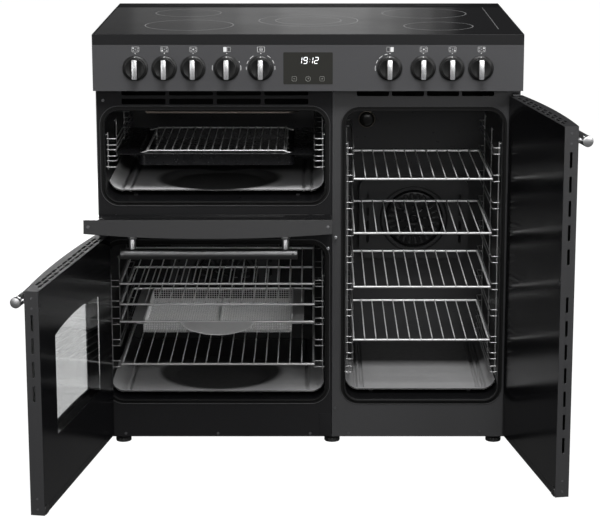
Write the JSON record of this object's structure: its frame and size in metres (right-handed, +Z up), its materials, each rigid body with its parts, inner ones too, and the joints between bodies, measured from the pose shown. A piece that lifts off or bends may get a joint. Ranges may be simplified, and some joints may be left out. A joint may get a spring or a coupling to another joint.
{
  "type": "range cooker",
  "caption": "Wide free-standing range cooker: black ceramic hob, knob panel with clock, drop-down grill door, side-hinged oven doors, wire shelves, grill pan and basket.",
  "frame": {"origin": "floor level, centre of the bounding box as stored, with all three doors open", "axes": "+Z up, -Y is the front, towards the user, +X is to the right seen from the front"},
  "size_m": [1.139, 1.0766, 0.905],
  "materials": {
    "body_paint": "satin",
    "front_paint": "satin",
    "panel_paint": "satin",
    "door_paint": "satin",
    "galvanised": "matte",
    "hob_black": "polished",
    "door_black": "polished",
    "window_clear": "polished",
    "clock_black": "polished",
    "cavity_enamel": "gloss",
    "pan_enamel": "gloss",
    "element_metal": "matte",
    "radiant": "matte",
    "switch_body": "matte",
    "lamp_glass": "polished",
    "wire_chrome": "polished",
    "bright_steel": "satin",
    "handle_metal": "satin",
    "knob_black": "gloss",
    "seal_rubber": "matte",
    "foot_plastic": "matte",
    "fan_metal": "satin"
  },
  "bodies": {
    "cabinet": {"left_side_panel": "body_paint", "right_side_panel": "body_paint", "back_panel": "galvanised", "base_plate": "body_paint", "left_front_plate": "front_paint", "right_front_plate": "front_paint", "hob_trim": "panel_paint", "hob_glass": "hob_black", "hob_elements": "radiant", "rear_vent_rail": "panel_paint", "control_panel": "panel_paint", "clock_window": "clock_black", "knob_switches": "switch_body", "grill_cavity": "cavity_enamel", "left_cavity": "cavity_enamel", "right_cavity": "cavity_enamel", "grill_element": "element_metal", "ring_elements": "element_metal", "fan_covers": "cavity_enamel", "fan_motors": "galvanised", "oven_lamps": "lamp_glass", "shelf_ladders": "wire_chrome", "mouth_seals": "seal_rubber", "levelling_feet": "foot_plastic", "door_catches": "bright_steel", "hinge_brackets": "bright_steel", "screws": "bright_steel", "terminal_cover": "galvanised"},
    "grill_door": {"grill_door_tray": "door_paint", "grill_door_glass": "door_black", "grill_door_window": "window_clear", "grill_door_handle": "handle_metal"},
    "left_door": {"left_door_tray": "door_paint", "left_door_glass": "door_black", "left_door_window": "window_clear", "left_door_handle": "handle_metal"},
    "right_door": {"right_door_tray": "door_paint", "right_door_glass": "door_black", "right_door_handle": "handle_metal"},
    "grill_pan_set": {"grill_pan": "pan_enamel", "grill_trivet": "wire_chrome"},
    "knob_1_body": {"knob_1": "knob_black"},
    "knob_2_body": {"knob_2": "knob_black"},
    "knob_3_body": {"knob_3": "knob_black"},
    "knob_4_body": {"knob_4": "knob_black"},
    "knob_5_body": {"knob_5": "knob_black"},
    "knob_6_body": {"knob_6": "knob_black"},
    "knob_7_body": {"knob_7": "knob_black"},
    "knob_8_body": {"knob_8": "knob_black"},
    "knob_9_body": {"knob_9": "knob_black"},
    "left_shelf_top_body": {"left_shelf_top": "wire_chrome"},
    "left_shelf_middle_body": {"left_shelf_middle": "wire_chrome"},
    "left_shelf_bottom_body": {"left_shelf_bottom": "wire_chrome"},
    "roasting_basket_body": {"roasting_basket": "wire_chrome"},
    "right_shelf_1_body": {"right_shelf_1": "wire_chrome"},
    "right_shelf_2_body": {"right_shelf_2": "wire_chrome"},
    "right_shelf_3_body": {"right_shelf_3": "wire_chrome"},
    "right_shelf_4_body": {"right_shelf_4": "wire_chrome"},
    "left_fan_body": {"left_fan": "fan_metal"},
    "right_fan_body": {"right_fan": "fan_metal"}
  },
  "joints": [
    {"name": "grill_door_drop", "type": "hinge", "parent": "cabinet", "child": "grill_door", "pos_m": [-0.19064, -0.05666, 0.504], "axis": [1, 0, 0], "range_deg": [-80, 0]},
    {"name": "left_door_swing", "type": "hinge", "parent": "cabinet", "child": "left_door", "pos_m": [-0.42914, -0.05666, 0.247], "axis": [0, 0, -1], "range_deg": [-100, 0]},
    {"name": "right_door_swing", "type": "hinge", "parent": "cabinet", "child": "right_door", "pos_m": [0.44686, -0.05666, 0.397], "axis": [0, 0, 1], "range_deg": [-100, 0]},
    {"name": "knob_1_turn", "type": "hinge", "parent": "cabinet", "child": "knob_1_body", "pos_m": [-0.35164, -0.07966, 0.834], "axis": [0, 1, 0], "range_deg": [0, 270]},
    {"name": "knob_2_turn", "type": "hinge", "parent": "cabinet", "child": "knob_2_body", "pos_m": [-0.29114, -0.07966, 0.834], "axis": [0, 1, 0], "range_deg": [0, 270]},
    {"name": "knob_3_turn", "type": "hinge", "parent": "cabinet", "child": "knob_3_body", "pos_m": [-0.23114, -0.07966, 0.834], "axis": [0, 1, 0], "range_deg": [0, 330]},
    {"name": "knob_4_turn", "type": "hinge", "parent": "cabinet", "child": "knob_4_body", "pos_m": [-0.16114, -0.07966, 0.834], "axis": [0, 1, 0], "range_deg": [0, 270]},
    {"name": "knob_5_turn", "type": "hinge", "parent": "cabinet", "child": "knob_5_body", "pos_m": [-0.09014, -0.07966, 0.834], "axis": [0, 1, 0], "range_deg": [0, 270]},
    {"name": "knob_6_turn", "type": "hinge", "parent": "cabinet", "child": "knob_6_body", "pos_m": [0.17886, -0.07966, 0.834], "axis": [0, 1, 0], "range_deg": [0, 270]},
    {"name": "knob_7_turn", "type": "hinge", "parent": "cabinet", "child": "knob_7_body", "pos_m": [0.24886, -0.07966, 0.834], "axis": [0, 1, 0], "range_deg": [0, 270]},
    {"name": "knob_8_turn", "type": "hinge", "parent": "cabinet", "child": "knob_8_body", "pos_m": [0.30886, -0.07966, 0.834], "axis": [0, 1, 0], "range_deg": [0, 330]},
    {"name": "knob_9_turn", "type": "hinge", "parent": "cabinet", "child": "knob_9_body", "pos_m": [0.36936, -0.07966, 0.834], "axis": [0, 1, 0], "range_deg": [0, 270]},
    {"name": "left_shelf_top_slide", "type": "slide", "parent": "cabinet", "child": "left_shelf_top_body", "axis": [0, -1, 0], "range_m": [0, 0.2]},
    {"name": "left_shelf_middle_slide", "type": "slide", "parent": "cabinet", "child": "left_shelf_middle_body", "axis": [0, -1, 0], "range_m": [0, 0.2]},
    {"name": "left_shelf_bottom_slide", "type": "slide", "parent": "cabinet", "child": "left_shelf_bottom_body", "axis": [0, -1, 0], "range_m": [0, 0.2]},
    {"name": "roasting_basket_slide", "type": "slide", "parent": "cabinet", "child": "roasting_basket_body", "axis": [0, -1, 0], "range_m": [0, 0.2]},
    {"name": "right_shelf_1_slide", "type": "slide", "parent": "cabinet", "child": "right_shelf_1_body", "axis": [0, -1, 0], "range_m": [0, 0.2]},
    {"name": "right_shelf_2_slide", "type": "slide", "parent": "cabinet", "child": "right_shelf_2_body", "axis": [0, -1, 0], "range_m": [0, 0.2]},
    {"name": "right_shelf_3_slide", "type": "slide", "parent": "cabinet", "child": "right_shelf_3_body", "axis": [0, -1, 0], "range_m": [0, 0.2]},
    {"name": "right_shelf_4_slide", "type": "slide", "parent": "cabinet", "child": "right_shelf_4_body", "axis": [0, -1, 0], "range_m": [0, 0.2]},
    {"name": "grill_pan_slide", "type": "slide", "parent": "cabinet", "child": "grill_pan_set", "axis": [0, -1, 0], "range_m": [0, 0.2]},
    {"name": "left_fan_spin", "type": "hinge", "parent": "cabinet", "child": "left_fan_body", "pos_m": [-0.18914, 0.37234, 0.274], "axis": [0, 1, 0], "continuous": true},
    {"name": "right_fan_spin", "type": "hinge", "parent": "cabinet", "child": "right_fan_body", "pos_m": [0.25486, 0.37234, 0.418], "axis": [0, 1, 0], "continuous": true}
  ]
}
